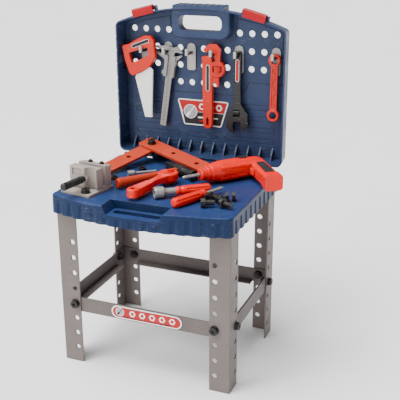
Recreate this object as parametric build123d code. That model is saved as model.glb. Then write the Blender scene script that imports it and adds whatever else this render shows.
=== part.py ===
from build123d import *
import os
from math import asin, degrees, hypot, sqrt

# Toy tool bench: a blue bench top on four perforated angle legs, with a hinged pegboard lid behind it
# and a set of toy tools. Millimetres, +Z up, front towards -Y. The bench is drawn about its own
# mid-plane with the floor at z = 0, then every piece is moved by SHIFT, so that the origin is the
# middle of the overall box on the floor.

# ---- driving dimensions: bench top ----
TABLE_HALF_W = 174.5
TABLE_REAR = 138.0
TABLE_CORNER = -136.0
TABLE_FRONT = -163.0
TABLE_BOTTOM = 308.0
TABLE_TOP = 343.0
WALL = 3.2
FLUTE_PITCH = 26.0
FLUTE_R = 12.0
FLUTE_DEPTH = 2.3
RECESS_HALF_W = 60.0
RECESS_REAR = -123.0
RECESS_FLOOR = 328.0
SLOT_HALF_L = 46.0
SLOT_Y = (-147.0, -132.0)

# ---- driving dimensions: legs and braces ----
LEG_X = 169.5
LEG_Y = 127.0
FLANGE = 39.3
LEG_T = 2.6
LEG_TOP = TABLE_TOP - WALL
HOLE_PITCH = 31.2
HOLE_COUNT = 8
HOLE_IN = 29.3
HOLE_R = 5.0
BRACE_HOLE = 4
BRACE_H = 29.0
BRACE_T = 2.5
BRACE_LIP = 20.0

# ---- driving dimensions: lid ----
LID_HALF_W = 177.0
RIM_Y = 142.0
PANEL_Y = 175.0
LID_BACK = 178.0
LID_BOTTOM = 350.0
LID_TOP = 650.0
LID_ARCH_R = 459.0
LID_TAPER = 6.0
PEG_PITCH = 25.0
PEG_ROW_PITCH = 34.2
PEG_TOP_ROW = 601.2
PEG_R = 6.3
HANDLE_Z = (604.0, 633.0)
HANDLE_HALF_W = 45.0
SURROUND_HALF_W = 61.0
SURROUND_BOTTOM = 588.0
SURROUND_FRONT = 155.0

# ---- hinge ----
HINGE_Y = 141.0
HINGE_Z = 347.0
HINGE_X = 120.0
KNUCKLE_R = 4.0
PIN_R = 1.9

# ---- hooks ----
HOOK_COLUMNS = (1, 3, 5, 7, 9, 12)
HOOK_PLATE_T = 2.5
HOOK_PLATE_FRONT = PANEL_Y - HOOK_PLATE_T
HOOK_Z = 559.0
HOOK_BAR = 5.0

# ---- the overall box: left bolt heads to the drill's heel, front bulge to the ends of the hook pegs ----
BOX_LEFT = -177.2
BOX_RIGHT = 214.8
PEG_BACK = LID_BACK + 1
SHIFT = (-(BOX_LEFT + BOX_RIGHT) / 2, -(TABLE_FRONT + PEG_BACK) / 2, 0)

os.makedirs("parts", exist_ok=True)


# ---------------------------------------------------------------- helpers
def save(name, shape):
    """Write one node, moved to the shared origin."""
    export_step(Pos(*SHIFT) * shape, "parts/" + name + ".step")


def group(solids):
    """Several separate solids that share one node."""
    return Compound(children=list(solids))


def cyl(r, h, x=0, y=0, z=0):
    """Upright round bar standing on z."""
    return Pos(x, y, z + h / 2) * Cylinder(r, h)


def bar_x(r, x0, x1, y, z):
    """Round bar along X."""
    return Pos((x0 + x1) / 2, y, z) * Rot(0, 90, 0) * Cylinder(r, x1 - x0)


def bar_y(r, y0, y1, x, z):
    """Round bar along Y."""
    return Pos(x, (y0 + y1) / 2, z) * Rot(90, 0, 0) * Cylinder(r, y1 - y0)


def block(x0, x1, y0, y1, z0, z1):
    """Rectangular block between two corners."""
    return Pos((x0 + x1) / 2, (y0 + y1) / 2, (z0 + z1) / 2) * Box(x1 - x0, y1 - y0, z1 - z0)


def slab(points, z0, z1):
    """Flat outline in XY, raised from z0 to z1."""
    return Pos(0, 0, z0) * extrude(make_face(Polyline(*points, close=True)), amount=z1 - z0)


def plate(points, y0, y1):
    """Upright outline in XZ, from y0 (front) to y1 (back)."""
    face = Plane.XZ * make_face(Polyline(*points, close=True))
    return Pos(0, y1, 0) * extrude(face, amount=y1 - y0)


def soft_plate(points, y0, y1, radius, edge=0.0):
    """Upright outline with rounded corners and, if asked, softened front edges."""
    flat = make_face(Polyline(*points, close=True))
    flat = fillet(flat.vertices(), radius)
    body = Pos(0, y1, 0) * extrude(Plane.XZ * flat, amount=y1 - y0)
    if edge:
        body = chamfer(body.faces().sort_by(Axis.Y)[0].edges(), edge)
    return body


def hexagon(across_flats, h, z=0):
    """Upright hexagonal prism."""
    flat = RegularPolygon(across_flats / 2, 6, major_radius=False)
    return Pos(0, 0, z) * extrude(flat, amount=h)


def turned(points):
    """Body of revolution about X from (x, radius) points, closed along the axis."""
    first, last = points[0], points[-1]
    outline = [(first[0], 0)] + list(points) + [(last[0], 0)]
    return revolve(make_face(Polyline(*outline, close=True)), Axis.X)


def lying(x, y, z, angle):
    """Place a tool drawn along +X on the bench top, pointing at an angle."""
    return Pos(x, y, z) * Rot(0, 0, angle)


def at_both(values):
    return [-values, values]


# ---------------------------------------------------------------- bench top
def table_outline(inset):
    half, rear = TABLE_HALF_W - inset, TABLE_REAR - inset
    corner, front = TABLE_CORNER + inset, TABLE_FRONT + inset
    edge = Polyline((half, corner), (half, rear), (-half, rear), (-half, corner))
    edge += ThreePointArc((-half, corner), (0, front), (half, corner))
    flat = make_face(edge)
    return fillet(flat.vertices(), 12 - inset)


def front_arc_point(x):
    """Point and direction of the bulging front edge at a given x."""
    rise = TABLE_CORNER - TABLE_FRONT
    radius = (TABLE_HALF_W ** 2 + rise ** 2) / (2 * rise)
    centre_y = TABLE_FRONT + radius
    return x, centre_y - sqrt(radius ** 2 - x ** 2)


def recess_block(grow, floor):
    """Stepped finger recess in the middle of the front edge, with sloping ends."""
    top = TABLE_TOP + 2
    low, high = RECESS_HALF_W - 10 + grow, RECESS_HALF_W + grow
    ends = [(-high, top), (-low, floor), (low, floor), (high, top)]
    return plate(ends, TABLE_FRONT - 12, RECESS_REAR + grow)


def flutes():
    """Vertical scallops round the skirt."""
    out = FLUTE_R - FLUTE_DEPTH
    height = TABLE_TOP - TABLE_BOTTOM - 8
    tools = []
    for step in range(-6, 7):
        x, y = front_arc_point(step * FLUTE_PITCH)
        top = RECESS_FLOOR - TABLE_BOTTOM - 5 if abs(step) < 3 else height
        tools.append(cyl(FLUTE_R, top, x, y - out, TABLE_BOTTOM - 1))
        if abs(step) < 6:
            tools.append(cyl(FLUTE_R, height, step * FLUTE_PITCH, TABLE_REAR + out, TABLE_BOTTOM - 1))
    for step in range(-4, 6):
        for side in (-1, 1):
            x = side * (TABLE_HALF_W + out)
            tools.append(cyl(FLUTE_R, height, x, step * FLUTE_PITCH - 13, TABLE_BOTTOM - 1))
    return tools


def table_shell():
    height = TABLE_TOP - TABLE_BOTTOM
    outer = Pos(0, 0, TABLE_BOTTOM) * extrude(table_outline(0), amount=height, taper=1.5)
    outer = fillet(outer.faces().sort_by(Axis.Z)[-1].edges(), 3.5)
    hollow = Pos(0, 0, TABLE_BOTTOM) * extrude(table_outline(WALL), amount=height - WALL, taper=1.5)
    outer = outer - flutes()
    hollow = hollow - recess_block(WALL, RECESS_FLOOR - WALL)
    shell = outer - hollow - recess_block(0, RECESS_FLOOR)
    # handle slot through the recess floor
    slot_mid = (SLOT_Y[0] + SLOT_Y[1]) / 2
    slot = SlotOverall(2 * SLOT_HALF_L, SLOT_Y[1] - SLOT_Y[0])
    collar = SlotOverall(2 * SLOT_HALF_L + 5, SLOT_Y[1] - SLOT_Y[0] + 5)
    shell += Pos(1.5, slot_mid, TABLE_BOTTOM + 2) * extrude(collar, amount=RECESS_FLOOR - TABLE_BOTTOM - 4)
    shell -= Pos(1.5, slot_mid, TABLE_BOTTOM - 2) * extrude(slot, amount=height)
    # stiffening ribs under the top
    under = TABLE_TOP - WALL + 0.5
    for x in (-80, 0, 80):
        shell += block(x - 0.9, x + 0.9, -100, TABLE_REAR - WALL, under - 14, under)
    for y in (-60, 60):
        shell += block(-TABLE_HALF_W + 45, TABLE_HALF_W - 45, y - 0.9, y + 0.9, under - 14, under)
    # corner sockets that hold the leg tops
    gap, wall = 0.2, 2.0
    for sx in (-1, 1):
        for sy in (-1, 1):
            x = sx * (LEG_X - LEG_T - gap - wall / 2)
            y = sy * (LEG_Y - LEG_T - gap - wall / 2)
            reach = FLANGE - 8
            low = TABLE_BOTTOM + 4
            shell += Pos(x, y - sy * reach / 2, (low + under) / 2) * Box(wall, reach, under - low)
            shell += Pos(x - sx * reach / 2, y, (low + under) / 2) * Box(reach, wall, under - low)
    # ledge along the rear edge, left open at the hinges
    for x0, x1 in ((-162, -142), (-98, 98), (142, 162)):
        shell += block(x0, x1, TABLE_REAR - 4.4, TABLE_REAR + 1.4, TABLE_TOP - 3, TABLE_TOP + 5.6)
    # hinge knuckles on the rear edge
    for x in (-HINGE_X, HINGE_X):
        web = block(x - 7.6, x + 7.6, TABLE_REAR - 2, HINGE_Y, HINGE_Z - 14, HINGE_Z)
        knuckle = web + bar_x(KNUCKLE_R, x - 7.6, x + 7.6, HINGE_Y, HINGE_Z)
        shell += knuckle - bar_x(PIN_R, x - 8, x + 8, HINGE_Y, HINGE_Z)
    return shell


# ---------------------------------------------------------------- legs and braces
def hole_heights():
    return [HOLE_PITCH * (k + 1) for k in range(HOLE_COUNT)]


def leg(sx, sy):
    """Perforated angle leg with its outer corner at (sx, sy)."""
    x, y = sx * LEG_X, sy * LEG_Y
    front = Pos(x - sx * FLANGE / 2, y - sy * LEG_T / 2, LEG_TOP / 2) * Box(FLANGE, LEG_T, LEG_TOP)
    side = Pos(x - sx * LEG_T / 2, y - sy * FLANGE / 2, LEG_TOP / 2) * Box(LEG_T, FLANGE, LEG_TOP)
    body = front + side
    upright = body.edges().filter_by(Axis.Z)
    corner = upright.sort_by(lambda e: -sx * e.center().X - sy * e.center().Y)[0]
    body = fillet(corner, 1.8)
    holes = []
    for z in hole_heights():
        holes.append(Pos(x - sx * HOLE_IN, y, z) * Rot(90, 0, 0) * Cylinder(HOLE_R, 12))
        holes.append(Pos(x, y - sy * HOLE_IN, z) * Rot(0, 90, 0) * Cylinder(HOLE_R, 12))
    return body - holes


BRACE_Z = HOLE_PITCH * BRACE_HOLE
BRACE_LOW = BRACE_Z - BRACE_H / 2 - 2
BRACE_FACE_Y = LEG_Y - LEG_T
BRACE_FACE_X = LEG_X - LEG_T


def brace_long(sy):
    """Front or back brace: upright flange against the legs, lip turned inwards at the bottom."""
    half = BRACE_FACE_X - 0.3
    inner = BRACE_FACE_Y - BRACE_T
    low_y, high_y = sorted((sy * BRACE_FACE_Y, sy * inner))
    body = block(-half, half, low_y, high_y, BRACE_LOW, BRACE_LOW + BRACE_H)
    lip_half = LEG_X - FLANGE - 1
    lip_y0, lip_y1 = sorted((sy * BRACE_FACE_Y, sy * (BRACE_FACE_Y - BRACE_LIP)))
    body += block(-lip_half, lip_half, lip_y0, lip_y1, BRACE_LOW, BRACE_LOW + BRACE_T)
    for x in at_both(LEG_X - HOLE_IN):
        body -= Pos(x, sy * BRACE_FACE_Y, BRACE_Z) * Rot(90, 0, 0) * Cylinder(HOLE_R, 12)
    return body


def brace_side(sx):
    half = BRACE_FACE_Y - BRACE_T - 0.3
    inner = BRACE_FACE_X - BRACE_T
    low_x, high_x = sorted((sx * BRACE_FACE_X, sx * inner))
    body = block(low_x, high_x, -half, half, BRACE_LOW, BRACE_LOW + BRACE_H)
    lip_half = LEG_Y - FLANGE - 1
    lip_x0, lip_x1 = sorted((sx * BRACE_FACE_X, sx * (BRACE_FACE_X - BRACE_LIP)))
    body += block(lip_x0, lip_x1, -lip_half, lip_half, BRACE_LOW, BRACE_LOW + BRACE_T)
    for y in at_both(LEG_Y - HOLE_IN):
        body -= Pos(sx * BRACE_FACE_X, y, BRACE_Z) * Rot(0, 90, 0) * Cylinder(HOLE_R, 12)
    return body


def bolt(length):
    """Hex bolt with a flanged, dished head; shank along +Z from 0, head below 0."""
    head = hexagon(14, 6.5, -7.7) + cyl(8.6, 1.2, 0, 0, -1.2)
    head -= cyl(3.2, 2.5, 0, 0, -8)
    return head + cyl(4.8, length)


def nut():
    """Flanged hex nut with its seat at z = 0."""
    body = hexagon(14, 6.5, 0) + cyl(8.6, 1.2)
    return body - cyl(4.85, 10, 0, 0, -1)


def frame_places():
    """Bolt axis frames, Z pointing from outside to inside, for all eight brace bolts."""
    places = []
    for sx in (-1, 1):
        for sy in (-1, 1):
            x, y = sx * (LEG_X - HOLE_IN), sy * (LEG_Y - HOLE_IN)
            places.append(Pos(x, sy * LEG_Y, BRACE_Z) * Rot(sy * 90, 0, 0))
            places.append(Pos(sx * LEG_X, y, BRACE_Z) * Rot(0, -sx * 90, 0))
    return places


def brace_bolts():
    return group([p * bolt(14) for p in frame_places()])


def brace_nuts():
    seat = LEG_T + BRACE_T
    return group([p * Pos(0, 0, seat) * nut() for p in frame_places()])


def brace_plate():
    """Name plate on the front brace, left blank."""
    y = -BRACE_FACE_Y
    flat = SlotOverall(142, 25)
    body = Pos(6, y, BRACE_LOW + BRACE_H / 2) * extrude(Plane.XZ * flat, amount=1.0)
    return body


# ---------------------------------------------------------------- lid
def lid_outline(inset):
    half, low, top = LID_HALF_W - inset, LID_BOTTOM + inset, LID_TOP - inset
    radius = LID_ARCH_R - inset
    shoulder = top - radius + sqrt(radius ** 2 - half ** 2)
    edge = Polyline((-half, shoulder), (-half, low), (half, low), (half, shoulder))
    edge += ThreePointArc((half, shoulder), (0, top), (-half, shoulder))
    flat = make_face(edge)
    return fillet(flat.vertices(), 13 - inset)


def arch_z(x):
    """Height of the lid's outer arch above a given x."""
    return LID_TOP - LID_ARCH_R + sqrt(LID_ARCH_R ** 2 - x ** 2)


def drafted(flat, y_front, depth):
    """Outline pushed backwards from the rim, getting smaller with draft."""
    upright = Pos(0, y_front, 0) * (Plane.XZ * flat)
    return extrude(upright, amount=depth, dir=(0, 1, 0), taper=LID_TAPER)


def peg_places():
    places = []
    for row in range(4):
        for col in range(-6, 7):
            if row == 0 and abs(col) < 3:
                continue
            if row == 3 and abs(col) > 2:
                continue
            places.append((col * PEG_PITCH, PEG_TOP_ROW - row * PEG_ROW_PITCH))
    return places


def groove(a, b, width=1.6, depth=1.0):
    """Shallow sunk line in the panel from a to b (x, z)."""
    length = hypot(b[0] - a[0], b[1] - a[1])
    lean = degrees(asin((b[1] - a[1]) / length))
    if b[0] < a[0]:
        lean = 180 - lean
    mid = ((a[0] + b[0]) / 2, PANEL_Y, (a[1] + b[1]) / 2)
    return Pos(*mid) * Rot(0, -lean, 0) * Box(length + width, 2 * depth, width)


def sunk_lines():
    """Border line round the peg area: it steps down under the last row of holes."""
    low, inner = 478, 506
    right = [(0, low), (77, low), (90, inner - 12), (96, inner), (163, inner), (163, 606)]
    right += [(120, 620), (70, 629), (68, 592)]
    lines = []
    for a, b in zip(right, right[1:]):
        lines.append(groove(a, b))
        lines.append(groove((-b[0], b[1]), (-a[0], a[1])))
    return lines


def stadium(x0, x1, z):
    """Outline groove of a long rounded pocket."""
    flat = SlotOverall(x1 - x0, 11) - SlotOverall(x1 - x0 - 3, 8)
    face = Plane.XZ * flat
    return Pos((x0 + x1) / 2, PANEL_Y + 0.8, z) * extrude(face, amount=2)


def stadium_rows():
    tools = []
    for z in (458, 435, 412):
        tools += [stadium(-152, -76, z), stadium(84, 152, z)]
    for z, shift in ((390, 0), (368, -6)):
        tools += [stadium(-150, -52, z), stadium(-36 + shift, 30 + shift, z), stadium(46 + shift, 150, z)]
    return tools


def lid_shell():
    depth = LID_BACK - RIM_Y
    outer = drafted(lid_outline(0), RIM_Y, depth)
    raised = block(-52, 52, RIM_Y, LID_BACK - 1.5, LID_TOP - 12, LID_TOP + 4)
    raised = fillet(raised.edges().filter_by(Axis.Y).group_by(Axis.Z)[-1], 3.5)
    inner = drafted(lid_outline(WALL), RIM_Y, PANEL_Y - RIM_Y)
    shell = outer + raised - inner
    # handle surround, hollow from behind
    surround = block(-SURROUND_HALF_W, SURROUND_HALF_W, SURROUND_FRONT, LID_BACK, SURROUND_BOTTOM, LID_TOP + 10)
    surround = fillet(surround.edges().filter_by(Axis.Y).group_by(Axis.Z)[0], 20)
    surround = fillet(surround.faces().sort_by(Axis.Y)[0].edges(), 4)
    shell += surround & outer
    mid_z = (HANDLE_Z[0] + HANDLE_Z[1]) / 2
    high = HANDLE_Z[1] - HANDLE_Z[0]
    channel = Pos(0, 0, mid_z) * Box(2 * SURROUND_HALF_W - 8, 40, high + 22)
    channel = fillet(channel.edges().filter_by(Axis.Y), 11)
    keep = Pos(0, 0, mid_z) * Box(2 * HANDLE_HALF_W + 6, 40, high + 6)
    keep = fillet(keep.edges().filter_by(Axis.Y), 14)
    shell -= Pos(0, SURROUND_FRONT + 4 + 20, 0) * (channel - keep)
    opening = Pos(0, RIM_Y, mid_z) * Box(2 * HANDLE_HALF_W, 90, high)
    opening = fillet(opening.edges().filter_by(Axis.Y), 12)
    shell -= opening
    # peg holes
    shell -= [bar_y(PEG_R, PANEL_Y - 1, LID_BACK + 1, x, z) for x, z in peg_places()]
    shell -= sunk_lines()
    shell -= stadium_rows()
    # triangular gussets along the bottom wall
    for step in range(-6, 7):
        x = step * PEG_PITCH - 2
        profile = Plane.YZ * make_face(Polyline((PANEL_Y + 1, 352), (158, 352), (164, 366), (PANEL_Y + 1, 380),
                                                close=True))
        shell += Pos(x - 1.6, 0, 0) * extrude(profile, amount=3.2)
    # ribs on the inner side walls and notches outside
    for step in range(8):
        z = 378 + step * 28
        for side in (-1, 1):
            rib = Pos(side * (LID_HALF_W - 6.2), 164.5, z) * Box(4, 21, 1.6)
            shell += rib
            shell -= Pos(side * (LID_HALF_W + 0.2), RIM_Y + 4, z + 14) * Box(2.2, 9, 3.0)
    for step in range(-3, 4):
        shell -= block(step * 14 - 1.5, step * 14 + 1.5, RIM_Y - 1, LID_BACK, LID_TOP + 2.8, LID_TOP + 6)
    # hinge knuckles and the notches for the knuckles of the bench top
    for x in (-HINGE_X, HINGE_X):
        shell -= block(x - 8.1, x + 8.1, 136, 150, 340, 354)
        for offset in (-14, 14):
            a, b = x + offset - 5.9, x + offset + 5.9
            web = block(a, b, HINGE_Y, HINGE_Y + 6, HINGE_Z - 3, LID_BOTTOM + 2)
            shell += web + bar_x(KNUCKLE_R, a, b, HINGE_Y, HINGE_Z)
            shell -= bar_x(PIN_R + 0.1, a - 1, b + 1, HINGE_Y, HINGE_Z)
    # ears for the latches
    for place in latch_places():
        for end in (-1, 1):
            ear = Pos(end * 25.2, LATCH_PIN_Y, 3) * Box(4, 9, 12)
            ear = fillet(ear.edges().filter_by(Axis.X).group_by(Axis.Z)[-1], 3.5)
            shell += place * ear
        shell -= place * bar_x(LATCH_PIN_R, -28, 28, LATCH_PIN_Y, LATCH_PIN_Z)
    return shell


def hinge_pins():
    pins = []
    for x in (-HINGE_X, HINGE_X):
        pins.append(bar_x(PIN_R, x - 20, x + 20, HINGE_Y, HINGE_Z))
    return group(pins)


# ---- latches: each is drawn lying along X on a flat at z = 0, then set on the arch
LATCH_PIN_R = 1.6
LATCH_PIN_Y = 8.0
LATCH_PIN_Z = 5.0
LATCH_LENGTH = 45.0
LATCH_X = 114.0


def latch_place(sx):
    """Seat of a latch on the arch, tilted with its slope."""
    x = sx * LATCH_X
    lean = degrees(asin(x / LID_ARCH_R))
    return Pos(x, RIM_Y + 1, arch_z(x) - 0.2) * Rot(0, lean, 0)


def latch_places():
    return [latch_place(-1), latch_place(1)]


def latch():
    """Snap latch: round knuckle at the back, thumb pad and turned-down lip in front."""
    half = LATCH_LENGTH / 2
    outline = [(LATCH_PIN_Y, 9.2), (LATCH_PIN_Y, 0.8), (-1.6, 0.8), (-1.6, -4.5),
               (-3.8, -4.5), (-4.8, 3), (-4.4, 9.5), (-2.2, 12), (3.5, 12)]
    profile = Plane.YZ * make_face(Polyline(*outline, close=True))
    body = Pos(-half, 0, 0) * extrude(profile, amount=LATCH_LENGTH)
    body += Pos(0, LATCH_PIN_Y, LATCH_PIN_Z) * Rot(0, 90, 0) * Cylinder(4.2, LATCH_LENGTH)
    rounded = body.edges().filter_by(Axis.X).group_by(Axis.Z)[-1]
    body = fillet(rounded, 1.2)
    return body - bar_x(LATCH_PIN_R + 0.05, -half - 1, half + 1, LATCH_PIN_Y, LATCH_PIN_Z)


def latch_pins():
    pin = bar_x(LATCH_PIN_R, -27.2, 27.2, LATCH_PIN_Y, LATCH_PIN_Z)
    return group([place * pin for place in latch_places()])


def lid_sign():
    """Sign on the lid: a wide trapezoid with softened corners, left blank."""
    corners = [(-57, 464), (55, 464), (39, 411), (-42, 411)]
    return soft_plate(corners, PANEL_Y - 1.2, PANEL_Y, 4)


# ---------------------------------------------------------------- peg hooks
def peg_hook(col):
    x = (col - 6) * PEG_PITCH
    rows = [PEG_TOP_ROW - PEG_ROW_PITCH, PEG_TOP_ROW - 2 * PEG_ROW_PITCH]
    low, high = rows[1] - 9, rows[0] + 11
    outline = [(x - 9, low + 3), (x - 6, low), (x + 6, low), (x + 9, low + 3), (x + 9, high - 9),
               (x + 6.4, high - 2.6), (x, high), (x - 6.4, high - 2.6), (x - 9, high - 9)]
    body = plate(outline, HOOK_PLATE_FRONT, PANEL_Y - 0.1)
    inside = [(x + (px - x) * 0.8, (low + high) / 2 + (pz - (low + high) / 2) * 0.93) for px, pz in outline]
    body -= plate(inside, HOOK_PLATE_FRONT - 1, HOOK_PLATE_FRONT + 0.6)
    for z in rows:
        body += bar_y(PEG_R - 0.2, HOOK_PLATE_FRONT + 1, PEG_BACK, x, z)
    reach, half = 27, HOOK_BAR / 2
    front = HOOK_PLATE_FRONT - reach
    body += block(x - half, x + half, front, HOOK_PLATE_FRONT + 1, HOOK_Z - half, HOOK_Z + half)
    tip = block(x - half, x + half, front, front + HOOK_BAR, HOOK_Z - half, HOOK_Z + 10)
    body += fillet(tip.edges().filter_by(Axis.X).group_by(Axis.Z)[-1], 2.2)
    return body


def peg_hooks():
    return group([peg_hook(col) for col in HOOK_COLUMNS])


# ---------------------------------------------------------------- hanging tools
SAW_Y = (152.0, 161.0)
SAW_RISE = Pos(0, 0, 1.8)


def saw_handle():
    outer = [(-170, 566), (-155, 569), (-138, 579), (-119, 588), (-105, 588), (-98, 580), (-97, 566),
             (-95, 545), (-108, 526), (-129, 513), (-148, 505), (-155, 512), (-164, 537)]
    inner = [(-154, 552), (-111, 565.5), (-110, 549), (-148, 531)]
    body = soft_plate(outer, *SAW_Y, 3, 1.4)
    body -= soft_plate(inner, SAW_Y[0] - 2, SAW_Y[1] + 2, 3)
    return SAW_RISE * (body - plate(SAW_TANG, *SAW_BLADE_Y))


SAW_BLADE_Y = (155.6, 157.4)
SAW_TANG = [(-143, 500), (-139, 517.5), (-112, 530), (-103, 523), (-100, 500)]


def saw_blade():
    teeth = []
    count, top, low = 19, 522.0, 424.0
    pitch = (top - low) / count
    for k in range(count):
        z = top - k * pitch
        lean = 101.2 + 4.2 * k / count
        teeth += [(-lean - 3.2, z), (-lean, z - pitch + 0.6)]
    outline = [(-142, 502)] + [(-138, 517), (-112, 529), (-105, 522)] + teeth + [(-107, 422), (-122, 421)]
    return SAW_RISE * plate(outline, *SAW_BLADE_Y)


CAL_LEAN = 8.1
CAL_TOP = (-63.0, 568.0)
CAL_Y = (163.8, 167.8)


def caliper_place():
    """Caliper frame: z up along the leaning beam, origin at the top of the beam."""
    return Pos(CAL_TOP[0], 0, CAL_TOP[1]) * Rot(0, CAL_LEAN, 0)


def caliper_beam():
    y0, y1 = CAL_Y
    body = block(-6.5, 6.5, y0, y1, -163, 0)
    jaw = [(-6, 2), (-37, -3.5), (-38, -5), (-30, -7.4), (-6, -7.4)]
    jaw_upper = [(6, 1), (12, 3), (15, -1), (24, -6), (22, -9), (13, -8), (6, -10)]
    body += plate(jaw, y0, y1) + plate(jaw_upper, y0, y1)
    for k in range(15):
        body -= block(-2, 2, y0 - 1, y0 + 0.4, -38 - 8 * k - 0.5, -38 - 8 * k + 0.5)
    return caliper_place() * body


def caliper_slider():
    y0, y1 = CAL_Y
    body = block(-11.5, 11, y0 - 2.6, y1 + 2.6, -60, -17)
    jaw = [(-11, -17), (-20, -16.4), (-38, -14), (-38.5, -16), (-27, -20), (-16, -25), (-11, -30)]
    jaw_upper = [(10.5, -17), (22, -12), (24, -14), (16, -22), (10.5, -28)]
    body += plate(jaw, y0, y1) + plate(jaw_upper, y0, y1)
    thumb = [(-11, -46), (-16, -50), (-16, -56), (-11, -58)]
    body += plate(thumb, y0 - 1, y1 + 1)
    body -= block(-6.8, 6.8, y0 - 0.3, y1 + 0.3, -62, -15)
    window = block(-4.8, 4.8, y0 - 4, y0, -61, -16)
    return caliper_place() * (body - window)


WRENCH_Y = (158.0, 168.0)
WHEEL = (34.0, 531.0)


def pipe_wrench_body():
    """Fixed jaw, slotted housing for the wheel, and the long handle with its hanging slot."""
    y0, y1 = WRENCH_Y
    outline = [(2, 554), (20, 557), (24, 549), (26, 515), (24.5, 500), (24.5, 416), (20, 410.5), (10, 410.5),
               (5.5, 416), (4, 500), (3, 546)]
    body = soft_plate(outline, y0, y1, 1.6, 1.2)
    housing = Pos(WHEEL[0], (y0 + y1) / 2, WHEEL[1]) * Rot(90, 0, 0) * Cylinder(16.5, y1 - y0)
    housing = chamfer(housing.faces().sort_by(Axis.Y)[0].edges(), 1.4)
    keel = plate([(24, 520), (40, 520), (37, 508), (31, 501), (24, 506)], y0 + 1.5, y1 - 1.5)
    body = body + housing + keel
    stem_well = block(29.2, 40.8, y0 + 1.7, y1 - 1.7, 495, 560)
    wheel_well = block(25.5, 44.5, y0 - 1, y1 + 1, WHEEL[1] - 6.2, WHEEL[1] + 6.2)
    slot = SlotOverall(16, 5)
    hang = Pos(15, y1 + 1, 425) * extrude(Plane.XZ * (Rot(0, 0, 90) * slot), amount=y1 - y0 + 2)
    return body - stem_well - wheel_well - hang


def pipe_wrench_jaw():
    """Hook jaw on a threaded stem."""
    y0, y1 = WRENCH_Y
    hook = [(5, 566), (12, 562.5), (16, 567.5), (22, 566), (27.5, 562), (29.6, 551), (29.6, 540), (40.4, 540),
            (41, 571), (33, 580), (19, 580), (8, 572)]
    body = plate(hook, y0 + 2.1, y1 - 2.1)
    stem = Pos(35, (y0 + y1) / 2, 524) * Cylinder(3.2, 56)
    stem_guide = plate([(29.6, 540), (40.4, 540), (38, 537.6), (32, 537.6)], y0 + 2.1, y1 - 2.1)
    cut = block(40.4, 60, y0, y1, 500, 556)
    return body + stem_guide + stem - cut


def pipe_wrench_wheel():
    """Knurled adjusting wheel on the stem."""
    wheel = Pos(35, (WRENCH_Y[0] + WRENCH_Y[1]) / 2, WHEEL[1]) * Cylinder(8.6, 11.6)
    for k in range(16):
        spin = Pos(35, (WRENCH_Y[0] + WRENCH_Y[1]) / 2, WHEEL[1]) * Rot(0, 0, k * 22.5)
        wheel -= spin * Pos(8.9, 0, 0) * Box(1.4, 1.2, 14)
    return wheel - Pos(35, (WRENCH_Y[0] + WRENCH_Y[1]) / 2, WHEEL[1]) * Cylinder(3.27, 20)


AW_Y = (160.0, 168.0)
WORM = (76.0, 446.5)


def adjustable_wrench_body():
    y0, y1 = AW_Y
    handle = [(68.5, 562), (70, 568), (82, 568), (83.5, 562), (83, 500), (84, 466), (68, 466), (69, 500)]
    body = soft_plate(handle, y0, y1, 1.6, 1.0)
    head = [(68, 467), (60, 450), (53.5, 436), (54.5, 418), (62, 409), (70, 406.5), (68, 420), (69.5, 428),
            (75, 430), (99, 430), (99, 447), (92, 455), (84, 467)]
    body += plate(head, y0 - 1.5, y1 + 0.5)
    panel = [(71, 556), (81, 556), (81, 506), (71, 506)]
    body -= soft_plate(panel, y0 - 1, y0 + 0.7, 3)
    body -= bar_y(4.6, y0 - 1, y1 + 1, 75, HOOK_Z)
    body -= block(69, 83, y0 - 3, y1 + 3, WORM[1] - 7.2, WORM[1] + 7.2)
    body -= block(71, 104, y0 + 1.2, y1 - 2.2, 428, 439)
    pin_y = (y0 + y1) / 2 - 0.5
    body -= bar_x(1.6, 64, 90, pin_y, WORM[1])
    return body + bar_x(1.6, 64, 88, pin_y, WORM[1])


def adjustable_wrench_jaw():
    y0, y1 = AW_Y
    jaw = [(84, 429.6), (100.5, 429.6), (99, 421), (90, 412), (86, 417)]
    body = plate(jaw, y0 - 1.5, y1 + 0.5)
    return body + block(73, 99, y0 + 1.5, y1 - 2.5, 429.5, 438.6)


def adjustable_wrench_worm():
    y = (AW_Y[0] + AW_Y[1]) / 2 - 0.5
    body = bar_x(6.8, 70, 82, y, WORM[1])
    for k in range(4):
        x = 71.6 + 2.8 * k
        body -= bar_x(8, x - 0.5, x + 0.5, y, WORM[1]) - bar_x(5.6, x - 1, x + 1, y, WORM[1])
    return body - bar_x(1.66, 69, 83, y, WORM[1])


RING_Y = (161.0, 168.0)
RING_TOP = (150.0, 555.0)
RING_LOW = (149.6, 448.0)


def ring_spanner():
    y0, y1 = RING_Y
    deep = y1 - y0
    mid = (y0 + y1) / 2
    body = plate([(143.5, 549), (157, 549), (156.5, 453), (143, 453)], y0 + 1, y1 - 1)
    for x, z in (RING_TOP, RING_LOW):
        ring = Pos(x, mid, z) * Rot(90, 0, 0) * Cylinder(12.2, deep)
        body += chamfer(ring.edges().filter_by(GeomType.CIRCLE), 1.2)
    for x, z in (RING_TOP, RING_LOW):
        body -= Pos(x, mid + deep, z) * extrude(Plane.XZ * RegularPolygon(8.2, 6), amount=2 * deep)
    panel = soft_plate([(146, 539), (154, 539), (153.6, 464), (145.6, 464)], y0, y0 + 1.8, 2)
    body -= panel
    for k in range(5):
        z = 471 + 15 * k
        rib = Pos(149.8, y0 + 1.4, z) * Rot(0, -60 if k % 2 else 60, 0) * Box(12, 1.2, 1.4)
        body += rib & block(145.8, 153.8, y0, y1, 463, 540)
    return body


# ---------------------------------------------------------------- vise
VISE = (-122.0, -92.0, TABLE_TOP)
VISE_ANGLE = -9.5
VISE_SCREW_Z = 24.0
VISE_BOLT_AT = (17.0, -26.5)


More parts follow.
